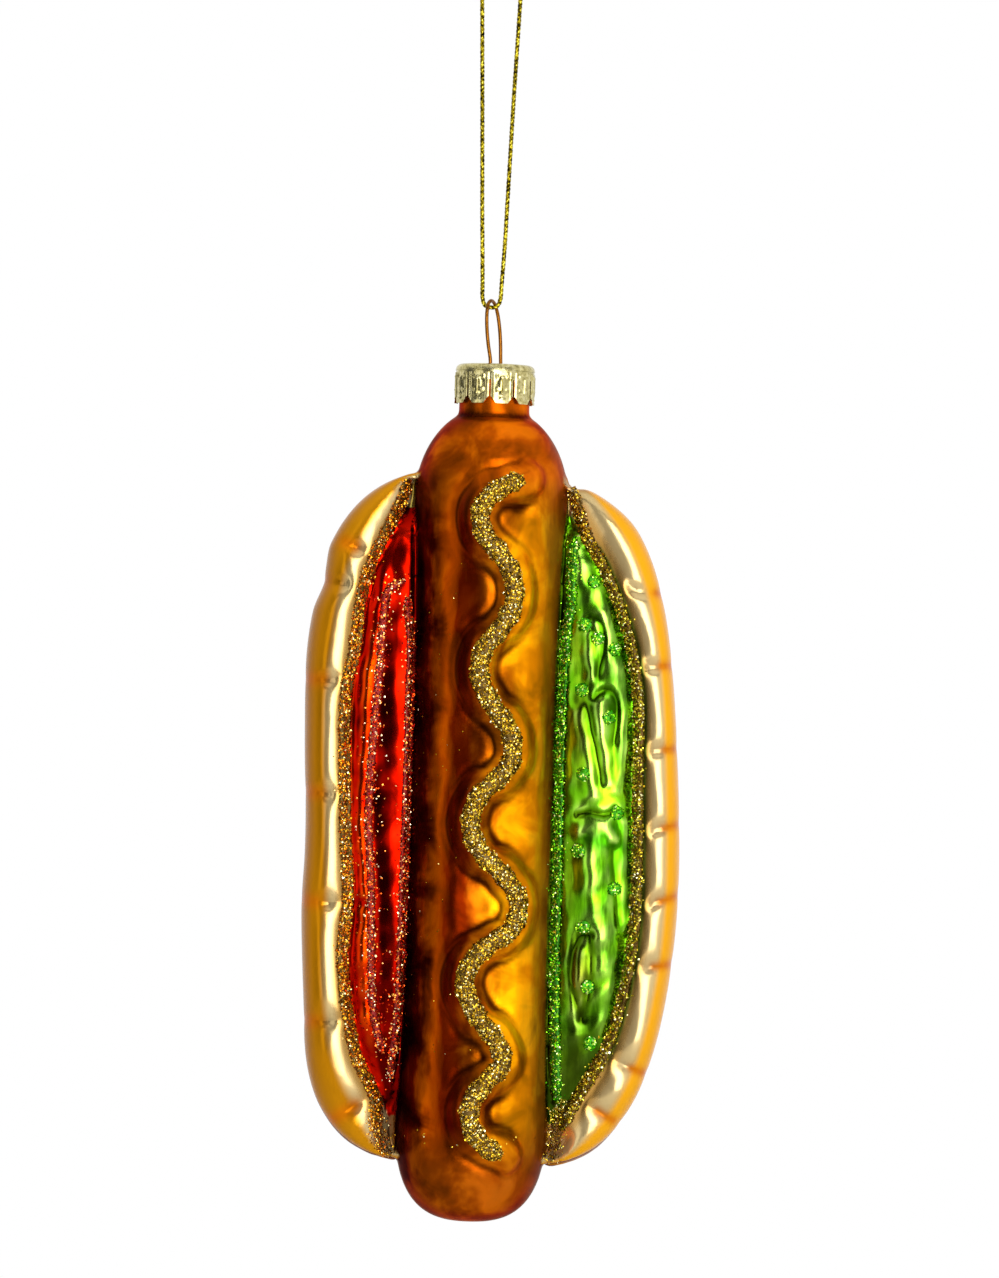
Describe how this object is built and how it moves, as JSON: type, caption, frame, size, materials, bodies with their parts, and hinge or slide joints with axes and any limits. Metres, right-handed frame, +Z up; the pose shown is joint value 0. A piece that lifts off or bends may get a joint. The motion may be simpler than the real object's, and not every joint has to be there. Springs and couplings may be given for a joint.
{
  "type": "hot dog ornament",
  "caption": "Hollow glass ornament shaped like a hot dog in a bun, with glitter trim, a stamped cap, a wire eye and a cord loop to hang it by.",
  "frame": {"origin": "inside of the top of the cord's loop, where the ornament hangs", "axes": "+Z up along the cord and the glass, the decorated front towards -Y, the ketchup on the -X side"},
  "size_m": [0.0575, 0.0337, 0.1926],
  "materials": {
    "lacquered_glass": "blown glass, silvered inside and painted with metallic lacquer, opaque",
    "stamped_cap": "thin stamped metal with a pale gold finish",
    "spring_wire": "springy wire with a copper finish",
    "metallic_cord": "twisted cord of metallic yellow-gold thread",
    "gold_glitter": "gold glitter flakes set in glue",
    "red_glitter": "red and gold glitter flakes set in glue",
    "green_glitter": "green glitter flakes set in glue"
  },
  "bodies": {
    "cord": {"cord": "metallic_cord", "cord_knot": "metallic_cord"},
    "hanger": {"hanger_wire": "spring_wire"},
    "cap": {"cap": "stamped_cap"},
    "ornament": {"glass_body": "lacquered_glass", "mustard_glitter": "gold_glitter", "left_rim_glitter": "gold_glitter", "right_rim_glitter": "gold_glitter", "ketchup_middle_glitter": "red_glitter", "ketchup_seam_glitter": "red_glitter", "lettuce_seam_glitter": "green_glitter", "lettuce_dot_1": "green_glitter", "lettuce_dot_2": "green_glitter", "lettuce_dot_3": "green_glitter", "lettuce_dot_4": "green_glitter", "lettuce_dot_5": "green_glitter", "lettuce_dot_6": "green_glitter", "lettuce_dot_7": "green_glitter", "lettuce_dot_8": "green_glitter", "lettuce_dot_9": "green_glitter", "lettuce_dot_10": "green_glitter", "lettuce_dot_11": "green_glitter", "lettuce_dot_12": "green_glitter", "lettuce_dot_13": "green_glitter"}
  },
  "joints": [
    {"name": "cord_swing", "type": "hinge", "parent": "cord", "child": "hanger", "pos_m": [0, 0, -0.05495], "axis": [1, 0, 0], "range_deg": [-60, 60]},
    {"name": "cap_rock", "type": "hinge", "parent": "hanger", "child": "cap", "pos_m": [0.00093, 0, -0.0635], "axis": [0.454, 0.891, 0], "range_deg": [-6, 6]},
    {"name": "neck_pull", "type": "slide", "parent": "cap", "child": "ornament", "axis": [0, 0, -1], "range_m": [0, 0.016]}
  ]
}
